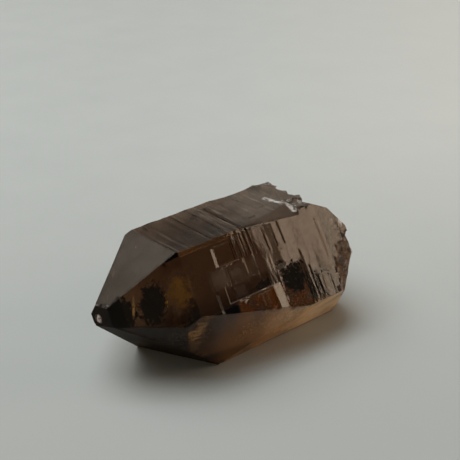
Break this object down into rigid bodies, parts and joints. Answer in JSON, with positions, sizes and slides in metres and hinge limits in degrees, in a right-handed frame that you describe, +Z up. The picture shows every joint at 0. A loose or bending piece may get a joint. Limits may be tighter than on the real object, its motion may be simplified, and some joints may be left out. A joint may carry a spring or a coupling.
{
  "type": "smoky quartz crystal",
  "caption": "Doubly terminated smoky quartz crystal lying on a prism face: steep six-sided point in front, broken blunt point behind, stepped and striated side faces.",
  "frame": {"origin": "bottom centre of the box around the crystal, on the surface that it rests on", "axes": "+X along the crystal's long axis from its sharp front point to its broken rear point; +Z up from the prism face that it rests on"},
  "size_m": [0.0614, 0.0325, 0.0272],
  "materials": {
    "smoky_quartz": "glassy crystal faces with fine striations, see-through brown, rough where broken"
  },
  "bodies": {
    "root": {"smoky_quartz_crystal": "smoky_quartz"}
  },
  "joints": []
}
